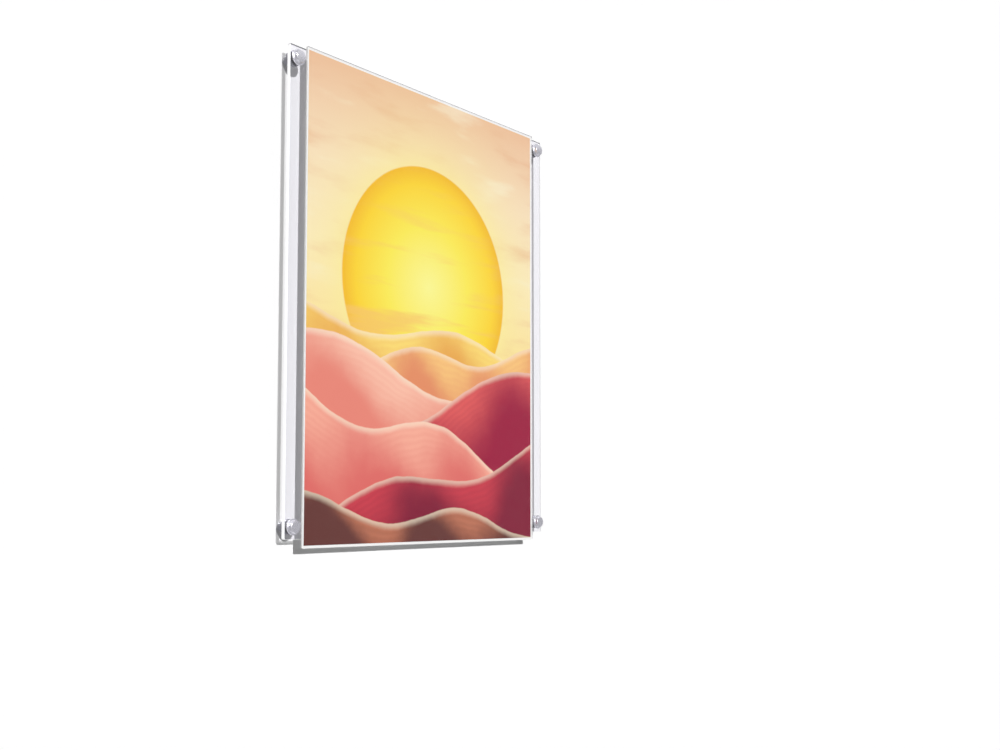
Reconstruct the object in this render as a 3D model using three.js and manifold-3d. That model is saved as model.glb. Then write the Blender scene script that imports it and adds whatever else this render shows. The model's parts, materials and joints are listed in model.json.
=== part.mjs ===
// Wall-mounted poster display. A clear acrylic back panel stands off the wall on four turned
// fittings, and a separate poster panel is held on its front by hidden magnets.
// Millimetres. X runs to the right, Y runs into the wall and Z runs up.
// The origin is the middle of the four fixings, on the face of the wall.

import * as THREE from 'three';
import { mergeVertices } from 'three/addons/utils/BufferGeometryUtils.js';
import Module from 'manifold-3d';

const wasm = await Module();
wasm.setup();

// Clearance between faces that touch, and round a piece in its pocket
const SEAT_GAP = 0.1;
const POCKET_GAP = 0.15;

// Poster panel: a print bonded behind a clear face, with a white board behind it
const PRINT_WIDTH = 457.2;
const PRINT_HEIGHT = 609.6;
const PRINT_THICKNESS = 0.25;
const WHITE_BORDER = 3.4;
const FACE_THICKNESS = 1;
const BOARD_THICKNESS = 1.5;
const SHEET_CORNER = 1;
const SHEET_EASE = 0.2;

// Clear back panel
const PANEL_WIDTH = 516;
const PANEL_HEIGHT = 602;
const PANEL_THICKNESS = 5;
const PANEL_CORNER = 2;
const PANEL_EASE = 0.5;

// The poster panel sits this much below the middle of the back panel
const POSTER_DROP = 4;

// Fixings: distance from the panel's edges to the middle of each hole
const FIXING_FROM_SIDE = 12;
const FIXING_FROM_END = 15;

// Stud and thread, M8 x 1.25
const STUD_RADIUS = 3.9;
const STUD_CHAMFER = 0.8;
const STUD_RUNNING_GAP = 0.2;
const STUD_IN_CAP = 4.2;
const STUD_IN_POST = 7.5;
const PANEL_HOLE_RADIUS = 4.4;

// Post: a barrel against the wall and a flange behind the panel
const POST_LENGTH = 14;
const BARREL_RADIUS = 5.3;
const POST_FLANGE_RADIUS = 9.5;
const POST_FLANGE = 5.5;
const POST_COVE = 1.2;
const POST_WEB = 3;
const EDGE_BREAK = 0.35;

// Cap: a flange on the panel, a cove and a tapered body with a crowned face
const CAP_LENGTH = 6.6;
const CAP_FLANGE_RADIUS = 10;
const CAP_FLANGE = 1.8;
const CAP_COVE = 0.8;
const CAP_NECK_RADIUS = 8.2;
const CAP_FACE_RADIUS = 7.4;
const CAP_CROWN = 0.35;
const CAP_EDGE_ROUND = 0.9;

// Clear washers on both sides of the panel, a little smaller than the flanges
const WASHER_INSET = 1;
const WASHER_THICKNESS = 1;

// Countersunk wall screw, 4 x 40, and its plug, 6 x 30
const SCREW_RADIUS = 2;
const SCREW_LENGTH = 40;
const SCREW_POINT = 4.5;
const SCREW_HEAD_RADIUS = 3.85;
const SCREW_HEAD_RIM = 0.3;
const SCREW_HEAD_TOP = 0.2;
const SCREW_HOLE_RADIUS = 2.3;
const CROSS_WIDTH = 0.9;
const CROSS_SPAN = 4.2;
const CROSS_DEPTH = 1.4;
const PLUG_SET_BACK = 2.5;
const PLUG_LENGTH = 30;
const PLUG_RADIUS = 2.75;
const PLUG_RIB_RADIUS = 3.15;
const PLUG_BORE_RADIUS = 2.2;
const PLUG_RIBS = 4;
const PLUG_COLLAR = 4;
const PLUG_SLIT = 1;

// Magnets in the back panel and steel keepers in the board
const MAGNET_RADIUS = 6;
const MAGNET_THICKNESS = 3;
const KEEPER_THICKNESS = 0.6;
const DISC_EASE = 0.2;
const MAGNET_X = 200;
const MAGNET_ROW_PITCH = 210;

// Facets round each turned piece
const CAP_SIDES = 36;
const POST_SIDES = 24;
const WASHER_SIDES = 24;
const HOLE_SIDES = 24;
const DISC_SIDES = 16;
const STUD_SIDES = 20;
const SCREW_SIDES = 12;
const CURVE_STEPS = 2;

// Faces of the stack, from the wall to the viewer
const POST_FRONT = -POST_LENGTH;
const REAR_WASHER_BACK = POST_FRONT - SEAT_GAP;
const PANEL_BACK = REAR_WASHER_BACK - WASHER_THICKNESS - SEAT_GAP;
const PANEL_FRONT = PANEL_BACK - PANEL_THICKNESS;
const FRONT_WASHER_BACK = PANEL_FRONT - SEAT_GAP;
const CAP_BACK = FRONT_WASHER_BACK - WASHER_THICKNESS - SEAT_GAP;
const BOARD_BACK = PANEL_FRONT - SEAT_GAP;
const PRINT_BACK = BOARD_BACK - BOARD_THICKNESS - SEAT_GAP;
const FACE_BACK = PRINT_BACK - PRINT_THICKNESS - SEAT_GAP;
const POSTER_WIDTH = PRINT_WIDTH + 2 * WHITE_BORDER;
const POSTER_HEIGHT = PRINT_HEIGHT + 2 * WHITE_BORDER;

// Finishes
const CLEAR_ACRYLIC = { color: 0xeef2f4, roughness: 0.04, metalness: 0, transparent: true, opacity: 0.25 };
const CLEAR_NYLON = { color: 0xe8eaec, roughness: 0.3, metalness: 0, transparent: true, opacity: 0.5 };
const WARM_PRINT = { color: 0xf0b48c, roughness: 0.4, metalness: 0 };
const WHITE_BOARD = { color: 0xf4f3f0, roughness: 0.6, metalness: 0 };
const SATIN_ALUMINIUM = { color: 0xb9bac2, roughness: 0.3, metalness: 1 };
const ZINC_STEEL = { color: 0xa8abb0, roughness: 0.35, metalness: 1 };
const BRIGHT_NICKEL = { color: 0xc9c6c0, roughness: 0.15, metalness: 1 };
const GREY_NYLON = { color: 0x8f9296, roughness: 0.55, metalness: 0 };

const WELD = 1e-4;

// A closed geometry as a solid that can be cut
function asSolid(geometry) {
  const bare = geometry.clone();
  bare.deleteAttribute('normal');
  bare.deleteAttribute('uv');
  const welded = mergeVertices(bare, WELD);
  const vertProperties = new Float32Array(welded.attributes.position.array);
  const triVerts = new Uint32Array(welded.index.array);
  return new wasm.Manifold(new wasm.Mesh({ numProp: 3, vertProperties, triVerts }));
}

function asGeometry(solid) {
  const mesh = solid.getMesh();
  const geometry = new THREE.BufferGeometry();
  geometry.setAttribute('position', new THREE.BufferAttribute(mesh.vertProperties, 3));
  geometry.setIndex(new THREE.BufferAttribute(mesh.triVerts, 1));
  geometry.computeVertexNormals();
  return geometry;
}

function cut(geometry, tools) {
  let solid = asSolid(geometry);
  for (const tool of tools) {
    solid = solid.subtract(asSolid(tool));
  }
  return asGeometry(solid);
}

// A profile turned about Y. Its outline runs from the front of the piece towards the wall on the
// outside, and back again in a bore.
function turned(path, sides) {
  return new THREE.LatheGeometry(path.getPoints(CURVE_STEPS), sides);
}

// A flat sheet with round corners and eased edges, its back on y = 0 and its front at -thickness
function sheet(width, height, thickness, corner, ease) {
  const x = width / 2 - ease;
  const z = height / 2 - ease;
  const outline = new THREE.Shape();
  outline.absarc(x - corner, z - corner, corner, 0, Math.PI / 2);
  outline.absarc(corner - x, z - corner, corner, Math.PI / 2, Math.PI);
  outline.absarc(corner - x, corner - z, corner, Math.PI, 1.5 * Math.PI);
  outline.absarc(x - corner, corner - z, corner, 1.5 * Math.PI, 2 * Math.PI);
  const geometry = new THREE.ExtrudeGeometry(outline, {
    depth: thickness - 2 * ease,
    bevelThickness: ease,
    bevelSize: ease,
    bevelSegments: 1,
    curveSegments: CURVE_STEPS,
  });
  geometry.translate(0, 0, ease);
  geometry.rotateX(Math.PI / 2);
  return geometry;
}

// A round cutter along Y, from its back to its front
function drill(radius, x, z, back, front) {
  const cutter = new THREE.CylinderGeometry(radius, radius, back - front, HOLE_SIDES);
  return cutter.translate(x, (back + front) / 2, z);
}

// A round disc with eased edges, its front on y = 0
function disc(radius, thickness) {
  const path = new THREE.Path();
  path.moveTo(0, 0);
  path.lineTo(radius - DISC_EASE, 0);
  path.lineTo(radius, DISC_EASE);
  path.lineTo(radius, thickness - DISC_EASE);
  path.lineTo(radius - DISC_EASE, thickness);
  path.lineTo(0, thickness);
  return turned(path, DISC_SIDES);
}

function washer(flangeRadius) {
  const radius = flangeRadius - WASHER_INSET;
  const path = new THREE.Path();
  path.moveTo(PANEL_HOLE_RADIUS, -WASHER_THICKNESS);
  path.lineTo(radius, -WASHER_THICKNESS);
  path.lineTo(radius, 0);
  path.lineTo(PANEL_HOLE_RADIUS, 0);
  path.lineTo(PANEL_HOLE_RADIUS, -WASHER_THICKNESS);
  return turned(path, WASHER_SIDES);
}

// Flange, cove and barrel outside, and a bore, a countersink and a screw hole inside
function post() {
  const bore = STUD_RADIUS + STUD_RUNNING_GAP;
  const seatDepth = SCREW_HEAD_RADIUS + POCKET_GAP - SCREW_HOLE_RADIUS;
  const flangeBack = POST_FRONT + POST_FLANGE;
  const path = new THREE.Path();
  path.moveTo(bore, POST_FRONT);
  path.lineTo(POST_FLANGE_RADIUS - EDGE_BREAK, POST_FRONT);
  path.lineTo(POST_FLANGE_RADIUS, POST_FRONT + EDGE_BREAK);
  path.lineTo(POST_FLANGE_RADIUS, flangeBack - EDGE_BREAK);
  path.lineTo(POST_FLANGE_RADIUS - EDGE_BREAK, flangeBack);
  path.lineTo(BARREL_RADIUS + POST_COVE, flangeBack);
  path.quadraticCurveTo(BARREL_RADIUS, flangeBack, BARREL_RADIUS, flangeBack + POST_COVE);
  path.lineTo(BARREL_RADIUS, -EDGE_BREAK);
  path.lineTo(BARREL_RADIUS - EDGE_BREAK, 0);
  path.lineTo(SCREW_HOLE_RADIUS, 0);
  path.lineTo(SCREW_HOLE_RADIUS, seatDepth - POST_WEB);
  path.lineTo(SCREW_HEAD_RADIUS + POCKET_GAP, -POST_WEB);
  path.lineTo(bore, -POST_WEB);
  path.lineTo(bore, POST_FRONT);
  return turned(path, POST_SIDES);
}

// Crowned face, tapered body, cove and flange outside, and a blind bore for the stud
function cap() {
  const bore = STUD_RADIUS + POCKET_GAP;
  const faceEdge = -CAP_LENGTH + CAP_CROWN;
  const flangeFront = -CAP_FLANGE;
  const path = new THREE.Path();
  path.moveTo(0, -CAP_LENGTH);
  path.quadraticCurveTo(CAP_FACE_RADIUS / 2, -CAP_LENGTH, CAP_FACE_RADIUS - CAP_EDGE_ROUND, faceEdge);
  path.quadraticCurveTo(CAP_FACE_RADIUS, faceEdge, CAP_FACE_RADIUS, faceEdge + CAP_EDGE_ROUND);
  path.lineTo(CAP_NECK_RADIUS, flangeFront - CAP_COVE);
  path.quadraticCurveTo(CAP_NECK_RADIUS, flangeFront, CAP_NECK_RADIUS + CAP_COVE, flangeFront);
  path.lineTo(CAP_FLANGE_RADIUS - EDGE_BREAK, flangeFront);
  path.lineTo(CAP_FLANGE_RADIUS, flangeFront + EDGE_BREAK);
  path.lineTo(CAP_FLANGE_RADIUS, -EDGE_BREAK);
  path.lineTo(CAP_FLANGE_RADIUS - EDGE_BREAK, 0);
  path.lineTo(bore, 0);
  path.lineTo(bore, -STUD_IN_CAP);
  path.lineTo(0, -STUD_IN_CAP);
  return turned(path, CAP_SIDES);
}

// From the bottom of the cap's bore to its chamfered tip inside the post
function stud() {
  const front = CAP_BACK - STUD_IN_CAP + POCKET_GAP;
  const tip = POST_FRONT + STUD_IN_POST;
  const path = new THREE.Path();
  path.moveTo(0, front);
  path.lineTo(STUD_RADIUS, front);
  path.lineTo(STUD_RADIUS, tip - STUD_CHAMFER);
  path.lineTo(STUD_RADIUS - STUD_CHAMFER, tip);
  path.lineTo(0, tip);
  return turned(path, STUD_SIDES);
}

// Countersunk head in the post's web, shank and point in the wall, with a cross recess
function wallScrew() {
  const seat = -POST_WEB;
  const headFront = seat - SCREW_HEAD_RIM - SCREW_HEAD_TOP;
  const tip = headFront + SCREW_LENGTH;
  const path = new THREE.Path();
  path.moveTo(0, headFront);
  path.lineTo(SCREW_HEAD_RADIUS - SCREW_HEAD_TOP, headFront);
  path.lineTo(SCREW_HEAD_RADIUS, headFront + SCREW_HEAD_TOP);
  path.lineTo(SCREW_HEAD_RADIUS, seat);
  path.lineTo(SCREW_RADIUS, seat + SCREW_HEAD_RADIUS - SCREW_RADIUS);
  path.lineTo(SCREW_RADIUS, tip - SCREW_POINT);
  path.lineTo(0, tip);
  const wide = new THREE.BoxGeometry(CROSS_SPAN, 2 * CROSS_DEPTH, CROSS_WIDTH).translate(0, headFront, 0);
  const tall = new THREE.BoxGeometry(CROSS_WIDTH, 2 * CROSS_DEPTH, CROSS_SPAN).translate(0, headFront, 0);
  return cut(turned(path, SCREW_SIDES), [wide, tall]);
}

// A plain collar, then rings of sloping ribs, split lengthwise behind the collar
function wallPlug() {
  const end = PLUG_SET_BACK + PLUG_LENGTH;
  const ribPitch = (PLUG_LENGTH - PLUG_COLLAR) / PLUG_RIBS;
  const path = new THREE.Path();
  path.moveTo(PLUG_BORE_RADIUS, PLUG_SET_BACK);
  path.lineTo(PLUG_RIB_RADIUS, PLUG_SET_BACK);
  for (let rib = 0; rib < PLUG_RIBS; rib += 1) {
    const crest = PLUG_SET_BACK + PLUG_COLLAR + rib * ribPitch;
    path.lineTo(PLUG_RIB_RADIUS, crest);
    path.lineTo(PLUG_RADIUS, crest + ribPitch / 2);
  }
  path.lineTo(PLUG_RADIUS, end);
  path.lineTo(PLUG_BORE_RADIUS, end);
  path.lineTo(PLUG_BORE_RADIUS, PLUG_SET_BACK);
  const slit = new THREE.BoxGeometry(4 * PLUG_RADIUS, PLUG_LENGTH, PLUG_SLIT);
  slit.translate(0, PLUG_SET_BACK + 2 * PLUG_COLLAR + PLUG_LENGTH / 2, 0);
  return cut(turned(path, SCREW_SIDES), [slit]);
}

function add(group, name, geometry, finish, y = 0) {
  const mesh = new THREE.Mesh(geometry, new THREE.MeshStandardMaterial(finish));
  mesh.name = name;
  mesh.position.y = y;
  group.add(mesh);
}

// Places of the four fixings and the six magnets, each with a plain name
const fixingX = PANEL_WIDTH / 2 - FIXING_FROM_SIDE;
const fixingZ = PANEL_HEIGHT / 2 - FIXING_FROM_END;
const fixings = [
  { name: 'top_left', x: -fixingX, z: fixingZ },
  { name: 'top_right', x: fixingX, z: fixingZ },
  { name: 'bottom_left', x: -fixingX, z: -fixingZ },
  { name: 'bottom_right', x: fixingX, z: -fixingZ },
];
const rows = { top: MAGNET_ROW_PITCH, middle: 0, bottom: -MAGNET_ROW_PITCH };
const sides = { left: -MAGNET_X, right: MAGNET_X };
const magnets = [];
for (const [row, z] of Object.entries(rows)) {
  for (const [side, x] of Object.entries(sides)) {
    magnets.push({ name: `${row}_${side}`, x, z });
  }
}

const display = new THREE.Group();

// Back panel, drilled through for the studs and pocketed from the front for the magnets
const pocketRadius = MAGNET_RADIUS + POCKET_GAP;
const magnetPocket = MAGNET_THICKNESS + 2 * SEAT_GAP;
const studHoles = fixings.map(({ x, z }) => drill(PANEL_HOLE_RADIUS, x, z, 1, -PANEL_THICKNESS - 1));
const magnetHoles = magnets.map(({ x, z }) =>
  drill(pocketRadius, x, z, magnetPocket - PANEL_THICKNESS, -PANEL_THICKNESS - 1));
const panelBlank = sheet(PANEL_WIDTH, PANEL_HEIGHT, PANEL_THICKNESS, PANEL_CORNER, PANEL_EASE);
add(display, 'back_panel', cut(panelBlank, [...studHoles, ...magnetHoles]), CLEAR_ACRYLIC, PANEL_BACK);

// Poster panel: board with keeper pockets, print and clear face
const posterPanel = new THREE.Group();
posterPanel.position.z = -POSTER_DROP;
display.add(posterPanel);
const keeperPocket = KEEPER_THICKNESS + 2 * SEAT_GAP;
const keeperHoles = magnets.map(({ x, z }) => drill(pocketRadius, x, z + POSTER_DROP, 1, -keeperPocket));
const boardBlank = sheet(POSTER_WIDTH, POSTER_HEIGHT, BOARD_THICKNESS, SHEET_CORNER, SHEET_EASE);
add(posterPanel, 'poster_backing_board', cut(boardBlank, keeperHoles), WHITE_BOARD, BOARD_BACK);
const printSheet = new THREE.BoxGeometry(PRINT_WIDTH, PRINT_THICKNESS, PRINT_HEIGHT);
add(posterPanel, 'poster_print', printSheet, WARM_PRINT, PRINT_BACK - PRINT_THICKNESS / 2);
const faceSheet = sheet(POSTER_WIDTH, POSTER_HEIGHT, FACE_THICKNESS, SHEET_CORNER, SHEET_EASE);
add(posterPanel, 'poster_clear_face', faceSheet, CLEAR_ACRYLIC, FACE_BACK);

// Each magnet faces a keeper across the joint between the two panels
for (const { name, x, z } of magnets) {
  const pair = new THREE.Group();
  pair.position.set(x, 0, z);
  display.add(pair);
  add(pair, `magnet_${name}`, disc(MAGNET_RADIUS, MAGNET_THICKNESS), BRIGHT_NICKEL, PANEL_FRONT + SEAT_GAP);
  const keeperFront = BOARD_BACK - SEAT_GAP - KEEPER_THICKNESS;
  add(pair, `keeper_${name}`, disc(MAGNET_RADIUS, KEEPER_THICKNESS), ZINC_STEEL, keeperFront);
}

// Stand-off fittings, from the plug in the wall out to the cap
for (const { name, x, z } of fixings) {
  const fitting = new THREE.Group();
  fitting.position.set(x, 0, z);
  display.add(fitting);
  add(fitting, `wall_plug_${name}`, wallPlug(), GREY_NYLON);
  add(fitting, `wall_screw_${name}`, wallScrew(), ZINC_STEEL);
  add(fitting, `wall_post_${name}`, post(), SATIN_ALUMINIUM);
  add(fitting, `rear_washer_${name}`, washer(POST_FLANGE_RADIUS), CLEAR_NYLON, REAR_WASHER_BACK);
  add(fitting, `front_washer_${name}`, washer(CAP_FLANGE_RADIUS), CLEAR_NYLON, FRONT_WASHER_BACK);
  add(fitting, `stud_${name}`, stud(), ZINC_STEEL);
  add(fitting, `cap_${name}`, cap(), SATIN_ALUMINIUM, CAP_BACK);
}

export default display;
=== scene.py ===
# %% [markdown]
# # A poster display that stands off the wall
#
# The real object is a print behind a thin clear sheet. Magnets hold it on a wider clear acrylic
# panel, and four turned metal fittings hold that panel a little way off the wall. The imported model
# has every piece at its real size and place. This lesson loads it, keeps its frame, and gives the
# pieces the fine edges, threads and finishes that plain solids leave out.

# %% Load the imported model
import json
from math import radians

import bmesh
import bpy
import numpy as np
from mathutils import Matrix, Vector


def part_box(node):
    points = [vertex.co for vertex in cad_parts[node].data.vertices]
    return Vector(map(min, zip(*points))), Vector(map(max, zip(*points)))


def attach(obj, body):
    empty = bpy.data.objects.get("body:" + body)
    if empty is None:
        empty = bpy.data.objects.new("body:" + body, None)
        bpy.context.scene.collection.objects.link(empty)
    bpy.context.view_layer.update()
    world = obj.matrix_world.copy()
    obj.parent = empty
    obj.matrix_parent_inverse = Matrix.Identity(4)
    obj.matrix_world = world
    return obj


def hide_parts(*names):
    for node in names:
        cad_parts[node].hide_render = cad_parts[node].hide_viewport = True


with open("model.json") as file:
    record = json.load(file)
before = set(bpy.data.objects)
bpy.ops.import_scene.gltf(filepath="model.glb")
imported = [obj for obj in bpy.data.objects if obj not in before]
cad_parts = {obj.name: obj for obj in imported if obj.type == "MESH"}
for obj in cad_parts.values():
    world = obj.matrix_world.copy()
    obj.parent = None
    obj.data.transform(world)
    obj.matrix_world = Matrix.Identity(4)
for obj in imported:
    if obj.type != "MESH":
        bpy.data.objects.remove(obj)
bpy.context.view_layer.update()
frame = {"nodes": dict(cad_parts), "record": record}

# %% [markdown]
# ## Measures
#
# A display like this is drawn in millimetres, and Blender works in metres. Sizes below are written
# in millimetres and become metres once, where a mesh is made. The place of a piece is never typed
# in again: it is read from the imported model, so the looks follow the model if it changes.

# %% Read places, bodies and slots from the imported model
MM = 0.001
CORNERS = ("top_left", "top_right", "bottom_left", "bottom_right")
MAGNET_PLACES = [f"{row}_{side}" for row in ("top", "middle", "bottom") for side in ("left", "right")]

record = frame["record"]
carrier = {node: body for body, nodes in record["behaviour"]["bodies"].items() for node in nodes}


def box_mm(node):
    """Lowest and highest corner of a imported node, in millimetres."""
    low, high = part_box(node)
    return np.array(low) / MM, np.array(high) / MM


def turning(node):
    """A turned node's measures: its axis (x, z), its largest radius, and its front and back y."""
    low, high = box_mm(node)
    axis = (low + high)[[0, 2]] / 2
    return axis, (high[0] - low[0]) / 2, low[1], high[1]


print("top left fixing, x and z in mm:", turning("stud_top_left")[0].round(2))

# %% [markdown]
# ## Camera
#
# The photograph was taken from the left and from low down, with the upright edges kept upright, as
# a shift lens does. The place below was worked out from the four corners of the poster: a 3 to 4
# sheet that shows these corners leaves only one place for the camera. Part of the framing is a lens
# shift and the rest a tilt: a full shift would push the display out of the picture in other views.

# %% Make the camera
# The place is in metres, the angles in degrees, the lens and the film in millimetres
CAMERA_PLACE = (-1.2193, -1.09375, -0.25788)
CAMERA_TURN = 52.035
CAMERA_RISE = 3.984
CAMERA_LENS = 43.024
FILM_WIDTH = 36
# The shift is a share of the picture's width. A camera that isn't tilted looks straight down
CAMERA_SHIFT = 0.045
LEVEL = 90

camera = bpy.data.objects.new("camera", bpy.data.cameras.new("camera"))
camera.data.sensor_width = FILM_WIDTH
camera.data.lens = CAMERA_LENS
camera.data.shift_y = CAMERA_SHIFT
camera.location = CAMERA_PLACE
camera.rotation_euler = (radians(LEVEL + CAMERA_RISE), 0, radians(-CAMERA_TURN))
bpy.context.scene.collection.objects.link(camera)
bpy.context.scene.camera = camera
print("camera turned by", CAMERA_TURN, "degrees from straight at the wall")

# %% [markdown]
# ## From a grid of points to a mesh
#
# Every new piece here is a surface of two parameters: one runs round the piece, the other along its
# profile. numpy works out the whole grid of points at once. The grid becomes quads, its seam and
# poles are welded, and the faces are turned outwards, so the result is a closed solid.

# %% Grids, welding and new objects
WELD = 1e-6


def grid_faces(rows, columns):
    """Quads between neighbouring points of a grid that is stored row by row."""
    first = (np.arange(rows - 1)[:, None] * columns + np.arange(columns - 1)).ravel()
    return np.stack([first, first + 1, first + columns + 1, first + columns], axis=1).tolist()


def weld(mesh):
    """Closes seams and poles, drops faces without area, and turns the rest outwards."""
    work = bmesh.new()
    work.from_mesh(mesh)
    bmesh.ops.remove_doubles(work, verts=work.verts, dist=WELD)
    bmesh.ops.dissolve_degenerate(work, edges=work.edges, dist=WELD)
    bmesh.ops.recalc_face_normals(work, faces=work.faces)
    work.to_mesh(mesh)
    work.free()


def new_object(name, points, faces, surface):
    """A mesh object from points in millimetres, faces, and a pair of surface coordinates per point."""
    mesh = bpy.data.meshes.new(name)
    mesh.from_pydata((points * MM).tolist(), [], faces)
    corner_points = np.empty(len(mesh.loops), np.int32)
    mesh.loops.foreach_get("vertex_index", corner_points)
    layer = mesh.uv_layers.new(name="surface")
    layer.data.foreach_set("uv", surface[corner_points].astype(np.float32).ravel())
    weld(mesh)
    piece = bpy.data.objects.new(name, mesh)
    bpy.context.scene.collection.objects.link(piece)
    return piece


print("quads between 3 by 4 points:", len(grid_faces(3, 4)))

# %% [markdown]
# ## Turned pieces
#
# Caps, posts, studs, screws, washers and magnets all come off a lathe, so they share one function.
# A profile is a list of corners, each with the length that its rounding takes from both sides. Sharp
# corners would catch no light, and the thin bright line on a rounded edge is what makes metal read
# as metal. A Screw modifier could spin the profile too, but a grid also lets the radius change
# round the axis, which the threads need.

# %% Profiles and surfaces of revolution
SIDES = 96
ROUND_STEPS = 6
AROUND = np.linspace(0, 2 * np.pi, SIDES + 1)


def profile(*corners):
    """Rounded outline through corners (radius, y, rounding). Near a corner P it follows
    (1 - s)^2 A + 2 s (1 - s) P + s^2 B, where A and B lie one rounding along the two sides."""
    table = np.array(corners, float)
    spot = table[:, None, :2]
    rounding = table[:, None, 2:]
    back = np.roll(spot, 1, axis=0) - spot
    ahead = np.roll(spot, -1, axis=0) - spot
    enter = spot + rounding * back / np.linalg.norm(back, axis=2, keepdims=True)
    leave = spot + rounding * ahead / np.linalg.norm(ahead, axis=2, keepdims=True)
    s = np.linspace(0, 1, ROUND_STEPS)[None, :, None]
    curve = (1 - s) ** 2 * enter + 2 * s * (1 - s) * spot + s**2 * leave
    return curve.reshape(-1, 2)


def rows_of(path):
    """The radius and the y of a profile, each as rows that are alike all round."""
    shape = (len(path), SIDES + 1)
    return np.broadcast_to(path[:, :1], shape), np.broadcast_to(path[:, 1:], shape)


def turned(name, axis, *parts):
    """Surface of revolution about Y: x = r sin u, z = r cos u. The parts, profiles or pairs of r and y
    grids, follow each other. The surface coordinates are the share of a turn and the length in
    millimetres along the profile."""
    grids = [rows_of(part) if isinstance(part, np.ndarray) else part for part in parts]
    radius = np.concatenate([grid[0] for grid in grids])
    depth = np.concatenate([grid[1] for grid in grids])
    points = np.stack([axis[0] + radius * np.sin(AROUND), depth, axis[1] + radius * np.cos(AROUND)], axis=-1)
    steps = np.hypot(np.diff(radius, axis=0), np.diff(depth, axis=0))
    along = np.concatenate([np.zeros((1, SIDES + 1)), np.cumsum(steps, axis=0)])
    surface = np.stack([np.broadcast_to(AROUND / (2 * np.pi), along.shape), along], axis=-1)
    faces = grid_faces(*radius.shape)
    return new_object(name, points.reshape(-1, 3), faces, surface.reshape(-1, 2))


def ring(path):
    """A profile that closes on itself, for a piece with a hole."""
    return np.concatenate([path, path[:1]])


print("sides of a turned piece:", SIDES, "points on a rounded corner:", ROUND_STEPS)

# %% [markdown]
# ## Threads
#
# A thread is a ridge that climbs one pitch per turn. If the rows of the grid ran straight round, the
# ridge would cross them and come out as a staircase. So the rows climb with the thread: each one
# follows the same place on the tooth, and a row that has run past an end is held there.

# %% Helical rows
TOOTH_STEPS = 8
TOOTH_SLOPE = 2.5
SPARE_TURNS = 2


def thread(root, crest, pitch, start, end, runout, taper=None):
    """Rows of a helix: y = start + pitch (j / steps + u / 2 pi - 1), held between start and end, and
    r = root + (crest - root) tooth(j), where the tooth fades out over runout at both ends. The tooth is a
    slope up, a flat crest and a slope down. A taper is a function of y that scales the radius."""
    turns = int(np.ceil((end - start) / pitch)) + SPARE_TURNS
    j = np.arange(turns * TOOTH_STEPS + 1)[:, None] / TOOTH_STEPS
    depth = np.clip(start + pitch * (j + AROUND / (2 * np.pi) - 1), start, end)
    tooth = np.clip(TOOTH_SLOPE * (0.5 - np.abs(j % 1 - 0.5)), 0, 1)
    fade = np.clip(np.minimum(depth - start, end - depth) / runout, 0, 1)
    radius = root + (crest - root) * tooth * fade
    if taper is not None:
        radius = radius * taper(depth)
    return radius, depth


print("rows of points in one pitch of a thread:", TOOTH_STEPS)

# %% [markdown]
# ## Flat sheets
#
# The clear panel, the clear face and the white board are cut from sheet, their corners taken off
# and their edges eased. One function makes the rim: the rounded outline of the sheet, drawn in by a
# small inset that changes along the edge's profile. Front and back are then one flat face each inside
# a narrow band, and the front's band can have a finish of its own. Holes are cut with exact Booleans,
# which keep the flat faces flat.

# %% Sheets and cutting
CORNER_STEPS = 8
RIM = 4.5
CORNER_SIGNS = np.array([(1, 1), (-1, 1), (-1, -1), (1, -1)])


def sheet(name, low, high, corner, ease):
    """A flat sheet between two corners of its box. Its rim is C + max(corner - d, 0) n, where C is the
    middle of a corner's round, n the outward direction, and d an inset that runs from the band on the
    front, over the rounded edges, to the band on the back."""
    edge = profile((RIM, low[1], 0), (0, low[1], ease), (0, high[1], ease), (RIM, high[1], 0))
    inset = edge[:, :1]
    round_left = np.maximum(corner - inset, 0)
    quarter = np.arange(len(CORNER_SIGNS))[:, None] * np.pi / 2
    angle = (quarter + np.linspace(0, np.pi / 2, CORNER_STEPS)).ravel()
    sign = np.repeat(CORNER_SIGNS, CORNER_STEPS, axis=0)
    angle = np.append(angle, angle[:1])
    sign = np.append(sign, sign[:1], axis=0)
    half = (high - low) / 2
    middle = (high + low) / 2
    x = middle[0] + sign[:, 0] * (half[0] - inset - round_left) + round_left * np.cos(angle)
    z = middle[2] + sign[:, 1] * (half[2] - inset - round_left) + round_left * np.sin(angle)
    points = np.stack([x, np.broadcast_to(edge[:, 1:], x.shape), z], axis=-1)
    rows, columns = x.shape
    front = list(range(columns - 1))
    back = [(rows - 1) * columns + i for i in front]
    faces = grid_faces(rows, columns) + [front, back]
    return new_object(name, points.reshape(-1, 3), faces, points.reshape(-1, 3)[:, [0, 2]])


def cut(piece, cutters):
    """Takes the cutters out of a piece with exact Booleans, and deletes them."""
    for cutter in cutters:
        step = piece.modifiers.new("cut", "BOOLEAN")
        step.object = cutter
        step.solver = "EXACT"
    graph = bpy.context.evaluated_depsgraph_get()
    result = bpy.data.meshes.new_from_object(piece.evaluated_get(graph))
    piece.modifiers.clear()
    piece.data = result
    for cutter in cutters:
        bpy.data.objects.remove(cutter)


def drill(name, axis, radius, front, back, ease):
    """A round cutter with a flare of the given ease at its front and back, for eased hole edges."""
    flare = radius + ease
    path = profile(
        (0, front - ease, 0), (flare + ease, front - ease, 0), (radius, front + ease, 0),
        (radius, back - ease, 0), (flare + ease, back + ease, 0), (0, back + ease, 0),
    )
    return turned(name, axis, path)


def pocket(name, axis, radius, front, back):
    """A plain round cutter between two depths."""
    return turned(name, axis, profile((0, front, 0), (radius, front, 0), (radius, back, 0), (0, back, 0)))


print("points round a sheet:", len(CORNER_SIGNS) * CORNER_STEPS)

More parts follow.
